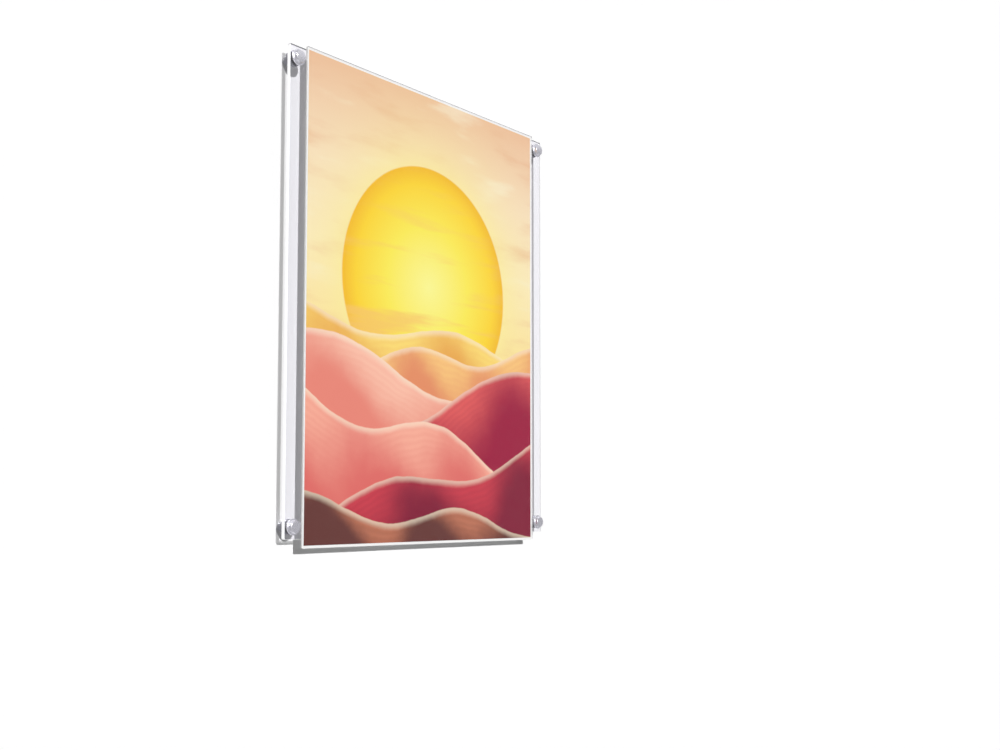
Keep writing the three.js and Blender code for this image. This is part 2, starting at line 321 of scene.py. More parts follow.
# %% [markdown]
# ## Shader sums written as Python
#
# A finish is a small program: take a place on the surface, work out a number, and feed it to a
# shader. Written node by node it is hard to read. The class below wraps a node's socket, so that
# `1 - mask` or `a * b + c` adds the Math nodes by itself. One method makes any other node.

# %% A socket to reckon with
class Wire:
    """A node socket that can be added, taken away, multiplied, divided and raised to a power."""

    def __init__(self, tree, socket=None):
        self.tree = tree
        self.socket = socket

    def node(self, kind, settings=None, sockets=None, out=0):
        """A node of any type: settings first, then the values or links of its sockets."""
        made = self.tree.nodes.new(kind)
        for name, value in (settings or {}).items():
            if name == "stops":
                self.set_stops(made.color_ramp.elements, value)
            else:
                setattr(made, name, value)
        for name, value in (sockets or {}).items():
            if isinstance(value, Wire):
                self.tree.links.new(value.socket, made.inputs[name])
            else:
                made.inputs[name].default_value = value
        return Wire(self.tree, made.outputs[out] if made.outputs else None)

    @staticmethod
    def set_stops(elements, stops):
        """The stops of a colour ramp, from pairs of place and colour."""
        elements.remove(elements[1])
        elements[0].position, elements[0].color = stops[0]
        for place, colour in stops[1:]:
            elements.new(place).color = colour

    def also(self, out):
        """Another output of the node that this socket belongs to."""
        return Wire(self.tree, self.socket.node.outputs[out])

    def math(self, operation, *values):
        """A Math node on these values."""
        return self.node("ShaderNodeMath", {"operation": operation}, dict(enumerate(values)))

    def __add__(self, other):
        return self.math("ADD", self, other)

    def __radd__(self, other):
        return self.math("ADD", other, self)

    def __sub__(self, other):
        return self.math("SUBTRACT", self, other)

    def __rsub__(self, other):
        return self.math("SUBTRACT", other, self)

    def __mul__(self, other):
        return self.math("MULTIPLY", self, other)

    def __rmul__(self, other):
        return self.math("MULTIPLY", other, self)

    def __truediv__(self, other):
        return self.math("DIVIDE", self, other)

    def __rtruediv__(self, other):
        return self.math("DIVIDE", other, self)

    def __pow__(self, other):
        return self.math("POWER", self, other)

    def __rpow__(self, other):
        return self.math("POWER", other, self)

    def step(self, low, high):
        """A soft step: 0 at low, 1 at high."""
        span = {"Value": self, "From Min": low, "From Max": high}
        return self.node("ShaderNodeMapRange", {"interpolation_type": "SMOOTHSTEP"}, span)

    def mix(self, first, second):
        """Two colours mixed by this share of the second."""
        return self.node("ShaderNodeMix", {"data_type": "RGBA"}, {0: self, 6: first, 7: second}, out=2)

    def noise(self, scale, detail=3.0):
        """Soft noise, 0 to 1, at this place."""
        return self.node("ShaderNodeTexNoise", None, {"Vector": self, "Scale": scale, "Detail": detail})

    def stretched(self, x, y, z):
        """This place with its three directions scaled."""
        return self.node("ShaderNodeVectorMath", {"operation": "MULTIPLY"}, {0: self, 1: (x, y, z)})


def shown(red, green, blue):
    """A colour as a screen shows it, 0 to 255, in the linear numbers that shaders use. The screen's curve
    is s / 12.92 for the darkest tones, and ((s + 0.055) / 1.055)^2.4 above them."""
    share = np.array([red, green, blue]) / 255
    linear = np.where(share <= 0.04045, share / 12.92, ((share + 0.055) / 1.055) ** 2.4)
    return (*linear.tolist(), 1.0)


def grey(tone):
    """A grey in linear numbers, from 0 for black to 1 for white."""
    return (tone, tone, tone, 1.0)


def new_finish(name):
    """An empty material, and the wire that its nodes start from."""
    finish = bpy.data.materials.new(name)
    finish.use_nodes = True
    finish.node_tree.nodes.clear()
    return finish, Wire(finish.node_tree)


def place_on(paint):
    """The place on the piece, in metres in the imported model's frame."""
    return paint.node("ShaderNodeTexCoord", out="Object")


def show(paint, shader):
    """Ends a finish with the shader that it shows."""
    paint.node("ShaderNodeOutputMaterial", None, {"Surface": shader})


BLACK = grey(0.0)
WHITE = grey(1.0)
print("a screen's middle grey in linear numbers:", round(shown(128, 128, 128)[0], 3))

# %% [markdown]
# ## Clear acrylic
#
# Acrylic is glass to look at, but a path tracer's glass throws a black shadow, because light that
# bends is hard to find again. So the shader asks what kind of ray has met it. The camera and
# reflections see real bent glass. Shadow rays and soft light go straight through, and lose a little
# at each face. At the rim, light is led away inside the sheet, so less of it comes through and the
# sheet draws its own outline on the wall.
#
# A real edge gathers light that has run inside the sheet through hundreds of reflections, and looks
# white. A path tracer gives up long before that and shows it black. So the edge is a satin skin, and
# the gathered light is painted onto it as a glow: painted light, an emission of its own. Near the
# sheet's top the edge gets no glow and its colour is painted dark instead, as painted shade. The thin
# sheet over the print is bonded to it. With no air between them the two look like one glossy print, so
# this sheet doesn't bend light, and the print has the shine.

# %% Acrylic finishes
ACRYLIC_IOR = 1.49
NO_BEND = 1.0
PANEL_TINT = shown(246, 245, 250)
NO_TINT = shown(254, 254, 255)
EDGE_SATIN_WHITE = shown(252, 252, 254)
EDGE_PAINTED_SHADE = shown(118, 118, 128)
WIPE_DULLNESS = 0.02

# How far below the sheet's top the painted shade on its edge starts, and where it is full, in metres
EDGE_SHADE_START = 0.002
EDGE_SHADE_END = 0.0005

# Share of a lamp's light that passes one face, and the painted glow that stands in for the light an edge has
# gathered
PANEL_FACE_PASSES = 0.91
PANEL_RIM_PASSES = 0.36
PANEL_EDGE_PASSES = 0.42
PANEL_EDGE_PAINTED_GLOW = 0.55
COVER_FACE_PASSES = 0.98
COVER_EDGE_PASSES = 0.6
COVER_EDGE_PAINTED_GLOW = 0.1


def let_light_past(paint, seen, light_through):
    """Shows a shader to the eye, and lets lamps and soft light straight through, dimmed to a share."""
    past = paint.node("ShaderNodeBsdfTransparent", None, {"Color": grey(light_through)})
    ray = paint.node("ShaderNodeLightPath", out="Is Diffuse Ray")
    soft = paint.node("ShaderNodeMixShader", None, {0: ray, 1: seen, 2: past})
    show(paint, paint.node("ShaderNodeMixShader", None, {0: ray.also("Is Shadow Ray"), 1: soft, 2: past}))


def clear_acrylic(name, tint, bend, light_through):
    """Polished clear sheet with faint wipe marks. Bend is its refractive index, and light_through is what
    one face lets past of the lamps."""
    finish, paint = new_finish(name)
    wipe = place_on(paint).stretched(1, 1, 0.4).noise(26.0).step(0.45, 0.8)
    glass = paint.node("ShaderNodeBsdfPrincipled", None, {
        "Base Color": tint, "Roughness": WIPE_DULLNESS * wipe, "IOR": bend, "Transmission Weight": 1.0})
    let_light_past(paint, glass, light_through)
    return finish


def sawn_edge(name, top, glow, light_through):
    """Sawn and polished edge: a satin skin with a painted glow for the light it gathers, and painted
    shade, a dark colour and no glow, where it reaches the height of the sheet's top, in metres."""
    finish, paint = new_finish(name)
    place = place_on(paint)
    marks = place.noise(700.0, 2.0)
    height = paint.node("ShaderNodeSeparateXYZ", None, {0: place}, out="Z")
    top_painted_shade = height.step(top - EDGE_SHADE_START, top - EDGE_SHADE_END)
    # Painted light and shade: the emission is a painted glow for gathered light, and near the top the colour
    # is painted dark, as painted shade, with the glow taken away.
    skin = paint.node("ShaderNodeBsdfPrincipled", None, {
        "Base Color": top_painted_shade.mix(EDGE_SATIN_WHITE, EDGE_PAINTED_SHADE),
        "Roughness": 0.2 + 0.15 * marks,
        "Emission Color": top_painted_shade.mix(grey(glow), BLACK),
        "Emission Strength": 1.0})
    let_light_past(paint, skin, light_through)
    return finish


panel_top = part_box("back_panel")[1].z
cover_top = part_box("poster_clear_face")[1].z
panel_face = clear_acrylic("acrylic_panel", PANEL_TINT, ACRYLIC_IOR, PANEL_FACE_PASSES)
panel_rim = clear_acrylic("acrylic_panel_rim", PANEL_TINT, ACRYLIC_IOR, PANEL_RIM_PASSES)
panel_edge = sawn_edge("acrylic_panel_edge", panel_top, PANEL_EDGE_PAINTED_GLOW, PANEL_EDGE_PASSES)
cover_face = clear_acrylic("acrylic_cover", NO_TINT, NO_BEND, COVER_FACE_PASSES)
cover_edge = sawn_edge("acrylic_cover_edge", cover_top, COVER_EDGE_PAINTED_GLOW, COVER_EDGE_PASSES)
print("acrylic finishes made:", len(bpy.data.materials))

# %% [markdown]
# ## The print
#
# The poster carries a picture in warm colours. This one is a made-up landscape: a low sun over rows
# of dunes. Each dune is one line of sums. Its crest is a slope plus a sine wave, everything below
# the crest is sand, and the sand goes from a light side to a dark side. Painted from far to near,
# each dune covers what lies behind it. An image would be quicker, but sums stay sharp at any size.

# %% Paint the sky and the sun
print_low, print_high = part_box("poster_print")
PRINT_HALF_WIDTH = (print_high.x - print_low.x) / 2
PRINT_HALF_HEIGHT = (print_high.z - print_low.z) / 2
PRINT_MIDDLE = (print_high.z + print_low.z) / 2

# The sun's place, size, glow and soft outline in metres
SUN_PLACE = (-0.004, 0.040)
SUN_RADIUS = 0.165
SUN_GLOW = 0.055
SUN_SOFTNESS = 0.0012

# Colours from the foot of the sky to its top, and from the sun's middle to its rim
SKY_STOPS = (
    (0.40, shown(255, 226, 150)), (0.62, shown(255, 238, 196)),
    (0.80, shown(251, 226, 194)), (1.00, shown(240, 194, 158)),
)
SUN_STOPS = (
    (0.00, shown(255, 250, 150)), (0.50, shown(255, 238, 92)),
    (0.85, shown(255, 216, 60)), (1.00, shown(247, 190, 52)),
)
CLOUD_SHADE = shown(232, 172, 134)
CLOUD_LIGHT = shown(255, 247, 224)
SUN_HALO = shown(255, 240, 158)
SUN_VEIL = shown(250, 200, 110)


def painted_sky(x, z, place):
    """Cream to peach bands with drawn-out cloud, and the sun with a glow e^(-d / glow) round it."""
    sky = z.node("ShaderNodeValToRGB", {"stops": SKY_STOPS}, {0: z * 0.5 + 0.5})
    cloud = place.stretched(4.0, 1.0, 17.0).noise(1.3, 6.0)
    sky = (cloud.step(0.50, 0.72) * 0.6).mix(sky, CLOUD_SHADE)
    sky = (cloud.step(0.46, 0.30) * 0.5).mix(sky, CLOUD_LIGHT)
    across = x * PRINT_HALF_WIDTH - SUN_PLACE[0]
    up = z * PRINT_HALF_HEIGHT - SUN_PLACE[1]
    reach = (across * across + up * up) ** 0.5
    outside = (reach - SUN_RADIUS).math("MAXIMUM", reach - SUN_RADIUS, 0.0)
    glow = outside.math("EXPONENT", outside * (-1 / SUN_GLOW))
    sky = (glow * 0.75).mix(sky, SUN_HALO)
    sun = z.node("ShaderNodeValToRGB", {"stops": SUN_STOPS}, {0: reach / SUN_RADIUS})
    veil = place.stretched(3.0, 1.0, 26.0).noise(1.1, 4.0).step(0.52, 0.66)
    sun = (veil * (0.8 - 0.5 * z.step(-0.2, 0.5))).mix(sun, SUN_VEIL)
    return reach.step(SUN_RADIUS + SUN_SOFTNESS, SUN_RADIUS - SUN_SOFTNESS).mix(sky, sun)


print("half of the print's width and height in metres:", PRINT_HALF_WIDTH, PRINT_HALF_HEIGHT)

# %% [markdown]
# The dunes work in shares of the print: x and z go from -1 to 1 across and up. Noise makes a crest a
# little uneven, and a second sine wave bends the shade on its side.

# %% Paint the dunes
CREST_SOFTNESS = 0.003
CREST_WIDTH = 0.035
CREST_LIGHT = shown(255, 240, 214)
CREST_UNEVEN = 0.02
SHADE_UNEVEN = 0.12
SHADE_BEND = 0.10
RIPPLES = 210.0
PRINT_SHINE = 0.12

# Each dune: height of its crest, rise to the right, swell, waves across, start of the wave,
# depth of its shade, light side and dark side
DUNES = (
    (-0.10, -0.05, 0.050, 1.3, 0.6, 0.30, shown(255, 222, 120), shown(238, 172, 84)),
    (-0.19, 0.07, 0.045, 1.7, 2.2, 0.28, shown(252, 200, 128), shown(232, 146, 104)),
    (-0.30, -0.12, 0.060, 1.2, 4.4, 0.34, shown(255, 196, 172), shown(236, 138, 122)),
    (-0.42, 0.20, 0.060, 1.1, 5.6, 0.36, shown(226, 96, 96), shown(158, 34, 66)),
    (-0.55, -0.16, 0.070, 1.4, 1.2, 0.36, shown(252, 178, 156), shown(226, 112, 106)),
    (-0.74, 0.16, 0.060, 1.2, 3.0, 0.30, shown(204, 66, 80), shown(132, 34, 58)),
    (-0.90, -0.06, 0.050, 1.5, 0.2, 0.20, shown(190, 118, 92), shown(104, 60, 56)),
)


def sine(wire):
    """The sine of a value."""
    return wire.math("SINE", wire)


def painted_dune(picture, x, z, place, dune):
    """One dune over the picture so far. Below its crest c(x) = height + rise x + swell sin(waves pi x +
    start), sand runs from light to dark with depth c - z, with a bright crest and fine ripples."""
    height, rise, swell, waves, start, shade_depth, light, dark = dune
    rough = place.noise(14.0 + 6.0 * waves, 4.0)
    crest = height + rise * x + swell * sine(x * (waves * np.pi) + start) + CREST_UNEVEN * rough
    depth = crest - z
    bend = SHADE_BEND * sine(x * (1.7 * waves * np.pi) + z * 5.0 + start * 2.0)
    shade = (depth + bend + SHADE_UNEVEN * rough).step(0.0, shade_depth)
    ripple = sine((depth + 0.035 * rough + 0.05 * x) * RIPPLES) * 0.5 + 0.5
    sand = shade.mix(light, dark)
    sand = (ripple * (0.12 - 0.11 * shade)).mix(sand, dark)
    sand = (0.55 * depth.step(CREST_WIDTH, 0.0)).mix(sand, CREST_LIGHT)
    return depth.step(-CREST_SOFTNESS, CREST_SOFTNESS).mix(picture, sand)


def dune_print():
    """The whole picture, from the sky to the nearest dune, as a printed sheet with a fine grain."""
    finish, paint = new_finish("dune_print")
    place = place_on(paint)
    split = paint.node("ShaderNodeSeparateXYZ", None, {0: place})
    x = split / PRINT_HALF_WIDTH
    z = (split.also("Z") - PRINT_MIDDLE) / PRINT_HALF_HEIGHT
    picture = painted_sky(x, z, place)
    for dune in DUNES:
        picture = painted_dune(picture, x, z, place, dune)
    grain = place.noise(900.0, 1.0)
    ink = paint.node("ShaderNodeBsdfPrincipled", None, {
        "Base Color": picture, "Roughness": 0.18 + 0.12 * grain, "Specular IOR Level": PRINT_SHINE})
    show(paint, ink)
    return finish


printed_sheet = frame["nodes"]["poster_print"].data
printed_sheet.materials.clear()
printed_sheet.materials.append(dune_print())
print("print painted with", len(DUNES), "dunes")

# %% [markdown]
# ## White board
#
# The print lies on a white sheet that is a few millimetres larger, which gives the thin white margin
# round the picture. It is a plain foamed plastic with a faint grain. Later in the lesson a lamp from
# behind lights its back, so that the back can be looked at, and no real wall has such a lamp. So the
# board is white to the eye, but soft light meets a greyer one, and the wall behind the poster stays as
# dark as it should be.

# %% Board finish
BOARD_TO_SOFT_LIGHT = shown(196, 196, 196)


def board_finish():
    """White foamed plastic with a fine grain, and its greyer stand-in for soft light."""
    finish, paint = new_finish("white_board")
    grain = place_on(paint).noise(1400.0, 4.0)
    tone = place_on(paint).noise(18.0).mix(shown(246, 245, 242), shown(252, 252, 251))
    lift = paint.node("ShaderNodeBump", None, {"Strength": 0.12, "Distance": 0.0001, "Height": grain})
    white = paint.node("ShaderNodeBsdfPrincipled", None, {
        "Base Color": tone, "Roughness": 0.52 + 0.12 * grain, "Normal": lift})
    dimmer = paint.node("ShaderNodeBsdfDiffuse", None, {"Color": BOARD_TO_SOFT_LIGHT})
    ray = paint.node("ShaderNodeLightPath", out="Is Diffuse Ray")
    show(paint, paint.node("ShaderNodeMixShader", None, {0: ray, 1: white, 2: dimmer}))
    return finish


white_board = board_finish()
print("board finish:", white_board.name)

# %% [markdown]
# ## Metals
#
# The caps and posts are turned aluminium with a satin finish. The posts are painted a darker grey than
# the caps: painted shade, for the shade they stand in between the panel and the wall. A lathe leaves
# fine rings, so the shader reads the piece's own surface coordinate, the length along its profile, and
# feeds it to one-dimensional noise: the rings then follow every curve of the profile. Studs, screws and
# keepers are zinc plated steel, which is cloudy rather than ringed, and the magnets are bright nickel.

# %% Metal finishes
RING_SHADE = 0.94


def turned_metal(name, colour, dull, ring_scale, ring_depth):
    """Metal with turning rings: noise along the profile changes the shine and lifts the surface."""
    finish, paint = new_finish(name)
    surface = paint.node("ShaderNodeUVMap", {"uv_map": "surface"})
    split = paint.node("ShaderNodeSeparateXYZ", None, {0: surface})
    rings = paint.node("ShaderNodeTexNoise", {"noise_dimensions": "1D"},
                       {"W": split.also("Y"), "Scale": ring_scale, "Detail": 2.0})
    cloud = place_on(paint).noise(160.0)
    tone = (0.5 * rings + 0.5 * cloud).mix(shown(*[RING_SHADE * c for c in colour]), shown(*colour))
    lift = paint.node("ShaderNodeBump", None, {"Strength": 0.25, "Distance": ring_depth, "Height": rings})
    show(paint, paint.node("ShaderNodeBsdfPrincipled", None, {
        "Base Color": tone, "Metallic": 1.0, "Normal": lift,
        "Roughness": dull + 0.10 * rings + 0.05 * cloud}))
    return finish


def plated_metal(name, colour, bloom, dull):
    """Plated metal: clouds of two close colours and of shine."""
    finish, paint = new_finish(name)
    place = place_on(paint)
    cloud = place.noise(240.0, 5.0)
    fleck = place.noise(2200.0, 1.0).step(0.6, 0.75)
    tone = cloud.step(0.35, 0.7).mix(shown(*colour), shown(*bloom))
    show(paint, paint.node("ShaderNodeBsdfPrincipled", None, {
        "Base Color": tone, "Metallic": 1.0, "Roughness": dull + 0.14 * cloud + 0.10 * fleck}))
    return finish


satin_cap = turned_metal("satin_aluminium", (244, 243, 249), 0.20, 5.0, 0.00002)
# The posts' darker grey is painted shade, for the shade between the panel and the wall
post_aluminium_painted_shade = turned_metal("satin_aluminium_post_painted_shade", (176, 176, 182), 0.34, 4.0, 0.00003)
zinc_steel = plated_metal("zinc_steel", (176, 180, 186), (198, 196, 178), 0.22)
bright_nickel = plated_metal("bright_nickel", (206, 202, 194), (214, 212, 206), 0.08)
print("metals:", [metal.name for metal in (satin_cap, post_aluminium_painted_shade, zinc_steel, bright_nickel)])

# %% [markdown]
# ## Nylon
#
# Clear washers keep the metal off the acrylic. They are milky, so they are part frosted glass and part
# plain white. The wall plugs are grey moulded nylon with a faint orange-peel skin.

# %% Nylon finishes
MILKY_SHARE = 0.35
WASHER_PASSES = 0.8


def clear_nylon_finish():
    """Frosted glass mixed with plain white."""
    finish, paint = new_finish("clear_nylon")
    cloud = place_on(paint).noise(300.0)
    frosted = paint.node("ShaderNodeBsdfPrincipled", None, {
        "Base Color": shown(240, 241, 244), "Roughness": 0.18 + 0.12 * cloud, "Transmission Weight": 1.0})
    white = paint.node("ShaderNodeBsdfDiffuse", None, {"Color": shown(250, 250, 252)})
    milky = paint.node("ShaderNodeMixShader", None, {0: MILKY_SHARE, 1: frosted, 2: white})
    let_light_past(paint, milky, WASHER_PASSES)
    return finish


def grey_nylon_finish():
    """Grey moulded plastic in two close tones, with a fine bump."""
    finish, paint = new_finish("grey_nylon")
    place = place_on(paint)
    skin = place.noise(900.0, 2.0)
    tone = place.noise(60.0).mix(shown(138, 141, 146), shown(152, 155, 158))
    lift = paint.node("ShaderNodeBump", None, {"Strength": 0.3, "Distance": 0.0001, "Height": skin})
    show(paint, paint.node("ShaderNodeBsdfPrincipled", None, {
        "Base Color": tone, "Roughness": 0.42 + 0.16 * skin, "Normal": lift}))
    return finish


clear_nylon = clear_nylon_finish()
grey_nylon = grey_nylon_finish()
print("finishes:", len(bpy.data.materials))

# %% [markdown]
# ## Dressing a piece
#
# Each new piece takes a imported node's place: it hides the node and rides on the body that carries it.
# Flat faces next to small roundings shade badly, because smooth normals bleed across them, so a
# Weighted Normal modifier lets the large faces set the normals.

# %% Dress a piece
CREASE = radians(35)
FLAT_ENOUGH = 0.99


def dress(piece, node, finish=None):
    """A finish, if the piece still needs one, even shading, and the piece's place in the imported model."""
    if finish:
        piece.data.materials.append(finish)
    piece.data.shade_smooth()
    piece.data.set_sharp_from_angle(angle=CREASE)
    piece.modifiers.new("even_shading", "WEIGHTED_NORMAL").keep_sharp = True
    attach(piece, carrier[node])
    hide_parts(node)


def finish_sheet(piece, node, face, rim, edge):
    """A sheet's three finishes: flat faces, the band at the front's rim, and everything that isn't flat."""
    mesh = piece.data
    for finish in (face, rim, edge):
        mesh.materials.append(finish)
    normal = np.empty(3 * len(mesh.polygons), np.float32)
    middle = np.empty(3 * len(mesh.polygons), np.float32)
    mesh.polygons.foreach_get("normal", normal)
    mesh.polygons.foreach_get("center", middle)
    low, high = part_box(node)
    flat = np.abs(normal[1::3]) > FLAT_ENOUGH
    front = normal[1::3] < -FLAT_ENOUGH
    to_side = np.minimum(middle[0::3] - low.x, high.x - middle[0::3])
    to_end = np.minimum(middle[2::3] - low.z, high.z - middle[2::3])
    at_rim = np.minimum(to_side, to_end) < RIM * MM
    kind = np.where(flat, np.where(front & at_rim, 1, 0), 2)
    mesh.polygons.foreach_set("material_index", kind.astype(np.int32))
    dress(piece, node)


# %% [markdown]
# ## The clear back panel
#
# The panel is 5 mm acrylic with a hole for each stud and a blind pocket, open to the front, for each
# magnet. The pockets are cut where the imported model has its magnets, with a little room round them.

# %% Back panel
PANEL_CORNER = 2.0
PANEL_EASE = 0.5
STUD_HOLE = 4.4
HOLE_EASE = 0.25
POCKET_GAP = 0.15
POCKET_FLOOR_GAP = 0.1
CUT_OVER = 1.0

panel_low, panel_high = box_mm("back_panel")
back_panel = sheet("fine_back_panel", panel_low, panel_high, PANEL_CORNER, PANEL_EASE)
cutters = [
    drill(f"cut_{corner}", turning(f"stud_{corner}")[0], STUD_HOLE, panel_low[1], panel_high[1], HOLE_EASE)
    for corner in CORNERS
]
for spot in MAGNET_PLACES:
    axis, radius, front, back = turning(f"magnet_{spot}")
    open_end = panel_low[1] - CUT_OVER
    cutters.append(pocket(f"cut_{spot}", axis, radius + POCKET_GAP, open_end, back + POCKET_FLOOR_GAP))
cut(back_panel, cutters)
finish_sheet(back_panel, "back_panel", panel_face, panel_rim, panel_edge)
print("back panel faces:", len(back_panel.data.polygons))

# %% [markdown]
# ## The poster panel
#
# The clear face and the white board are sheets too. The board has a shallow pocket in its back for
# each steel keeper, opposite the magnets.

# %% Clear face and board
SHEET_CORNER = 1.0
SHEET_EASE = 0.2

cover_low, cover_high = box_mm("poster_clear_face")
cover = sheet("fine_poster_clear_face", cover_low, cover_high, SHEET_CORNER, SHEET_EASE)
finish_sheet(cover, "poster_clear_face", cover_face, cover_face, cover_edge)

board_low, board_high = box_mm("poster_backing_board")
board = sheet("fine_poster_backing_board", board_low, board_high, SHEET_CORNER, SHEET_EASE)
cutters = []
for spot in MAGNET_PLACES:
    axis, radius, front, back = turning(f"keeper_{spot}")
    open_end = board_high[1] + CUT_OVER
    cutters.append(pocket(f"cut_{spot}", axis, radius + POCKET_GAP, front - POCKET_FLOOR_GAP, open_end))
cut(board, cutters)
dress(board, "poster_backing_board", white_board)
print("clear face and board, faces:", len(cover.data.polygons), len(board.data.polygons))

# %% [markdown]
# ## Magnets and keepers
#
# Discs with rounded edges. A pressed steel keeper has a small dimple in the middle of its open side.

# %% Magnets and keepers
MAGNET_ROUND = 0.35
KEEPER_ROUND = 0.15
KEEPER_DIMPLE = 1.2
DIMPLE_DEPTH = 0.25

for spot in MAGNET_PLACES:
    axis, radius, front, back = turning(f"magnet_{spot}")
    disc = profile((0, front, 0), (radius, front, MAGNET_ROUND), (radius, back, MAGNET_ROUND), (0, back, 0))
    dress(turned(f"fine_magnet_{spot}", axis, disc), f"magnet_{spot}", bright_nickel)
    axis, radius, front, back = turning(f"keeper_{spot}")
    disc = profile(
        (0, front, 0), (radius, front, KEEPER_ROUND), (radius, back, KEEPER_ROUND),
        (KEEPER_DIMPLE, back, KEEPER_ROUND), (0, back - DIMPLE_DEPTH, 0),
    )
    dress(turned(f"fine_keeper_{spot}", axis, disc), f"keeper_{spot}", zinc_steel)
print("magnets and keepers made:", 2 * len(MAGNET_PLACES))

# %% [markdown]
# ## Stand-off fittings
#
# Each corner has a plug and a screw in the wall, a post with a threaded bore, two clear washers, and
# a cap on a stud. The cap is what a visitor sees: a flange that spreads the load, a cove, a body that
# tapers to the front, and a face with a slight crown, so that it catches the light as a gradient.

# %% Caps
CAP_FLANGE = 1.8
CAP_COVE = 0.8
CAP_NECK = 8.2
CAP_FACE = 7.4
CAP_CROWN = 0.35
CAP_EDGE_ROUND = 0.9
CAP_BORE = 4.05
CAP_BORE_DEPTH = 4.2
EDGE_BREAK = 0.35
BORE_BREAK = 0.2
CROWN_STEPS = 10


def cap_profile(flange_radius, front, back):
    """Crown y = front + crown (r / R)^2, then the edge, the taper, the cove, the flange and the bore."""
    reach = np.linspace(0, CAP_FACE - CAP_EDGE_ROUND, CROWN_STEPS)
    crown = np.stack([reach, front + CAP_CROWN * (reach / reach[-1]) ** 2], axis=1)
    flange_front = back - CAP_FLANGE
    rest = profile(
        (reach[-1], front + CAP_CROWN, 0), (CAP_FACE, front + CAP_CROWN, CAP_EDGE_ROUND),
        (CAP_NECK, flange_front, CAP_COVE), (flange_radius, flange_front, EDGE_BREAK),
        (flange_radius, back, EDGE_BREAK), (CAP_BORE, back, BORE_BREAK),
        (CAP_BORE, back - CAP_BORE_DEPTH, 0), (0, back - CAP_BORE_DEPTH, 0),
    )
    return np.concatenate([crown, rest])


for corner in CORNERS:
    axis, radius, front, back = turning(f"cap_{corner}")
    cap = turned(f"fine_cap_{corner}", axis, cap_profile(radius, front, back))
    dress(cap, f"cap_{corner}", satin_cap)
print("caps made:", len(CORNERS))

# %% [markdown]
# The post stands on the wall, whose face is at y = 0. Its flange backs up the panel, its bore takes
# the stud, and a web at the bottom of the bore holds the countersunk wall screw.

# %% Posts
POST_FLANGE = 5.5
POST_COVE = 1.2
POST_BARREL = 5.3
POST_BORE = 4.1
POST_THREAD = 4.6
POST_WEB = 3.0
THREAD_PITCH = 1.25
SCREW_HOLE = 2.3
SCREW_SEAT = 4.0

for corner in CORNERS:
    axis, radius, front, back = turning(f"wall_post_{corner}")
    flange_back = front + POST_FLANGE
    seat_end = SCREW_SEAT - SCREW_HOLE - POST_WEB
    body = profile(
        (POST_BORE, front, 0), (radius, front, EDGE_BREAK), (radius, flange_back, EDGE_BREAK),
        (POST_BARREL, flange_back, POST_COVE), (POST_BARREL, back, EDGE_BREAK),
        (SCREW_HOLE, back, BORE_BREAK),
        (SCREW_HOLE, seat_end, 0), (SCREW_SEAT, -POST_WEB, 0), (POST_BORE, -POST_WEB, 0),
    )
    bore_radius, bore_depth = thread(POST_BORE, POST_THREAD, THREAD_PITCH, front, -POST_WEB, THREAD_PITCH)
    post = turned(f"fine_wall_post_{corner}", axis, body, (bore_radius[::-1], bore_depth[::-1]))
    dress(post, f"wall_post_{corner}", post_aluminium_painted_shade)
print("posts made:", len(CORNERS))

# %% [markdown]
# Washers are rings of clear nylon. The stud is threaded from end to end, with a chamfer at the tip
# so that it finds its bore.

# %% Washers and studs
WASHER_ROUND = 0.2
STUD_ROOT = 3.2
STUD_CHAMFER = 0.8

for corner in CORNERS:
    for side in ("front", "rear"):
        axis, radius, front, back = turning(f"{side}_washer_{corner}")
        section = profile(
            (STUD_HOLE, front, WASHER_ROUND), (radius, front, WASHER_ROUND),
            (radius, back, WASHER_ROUND), (STUD_HOLE, back, WASHER_ROUND),
        )
        washer = turned(f"fine_{side}_washer_{corner}", axis, ring(section))
        dress(washer, f"{side}_washer_{corner}", clear_nylon)
    axis, radius, front, back = turning(f"stud_{corner}")
    helix = thread(STUD_ROOT, radius, THREAD_PITCH, front, back, STUD_CHAMFER)
    end_front = profile((0, front, 0), (STUD_ROOT, front, 0))
    end_back = profile((STUD_ROOT, back, 0), (0, back, 0))
    stud = turned(f"fine_stud_{corner}", axis, end_front, helix, end_back)
    dress(stud, f"stud_{corner}", zinc_steel)
print("washers and studs made:", 3 * len(CORNERS))

# %% [markdown]
# The wall screw has a countersunk head with a cross recess, a plain neck and a thread that runs to
# the point. The recess is a turned cutter too: its radius changes with the angle, as the outline of
# two crossed bars seen from their middle.

# %% Screws
SCREW_SHANK = 2.0
SCREW_CORE = 1.35
SCREW_PITCH = 1.8
SCREW_POINT = 4.5
SCREW_NECK = 9.0
HEAD_RIM = 0.3
HEAD_ROUND = 0.2
SEAT_ROUND = 0.1
NECK_COVE = 0.3
NECK_ROUND = 0.2
NECK_TAPER = 0.6
CROSS_WIDTH = 0.9
CROSS_SPAN = 4.2
CROSS_DEPTH = 1.4
CROSS_FLOOR = 0.6
CROSS_OVER = 0.5
TINY = 1e-6


def bar(angle, length, width):
    """Distance from the middle of a bar to its outline: the nearer of its end and its side."""
    end = length / 2 / np.maximum(np.abs(np.sin(angle)), TINY)
    side = width / 2 / np.maximum(np.abs(np.cos(angle)), TINY)
    return np.minimum(end, side)


def outline_cutter(name, axis, outline, shares, depths):
    """A cutter of any outline round its axis: r = share outline(u) at each depth y."""
    radius = np.array(shares)[:, None] * outline
    depth = np.broadcast_to(np.array(depths)[:, None], radius.shape)
    return turned(name, axis, (radius, depth))


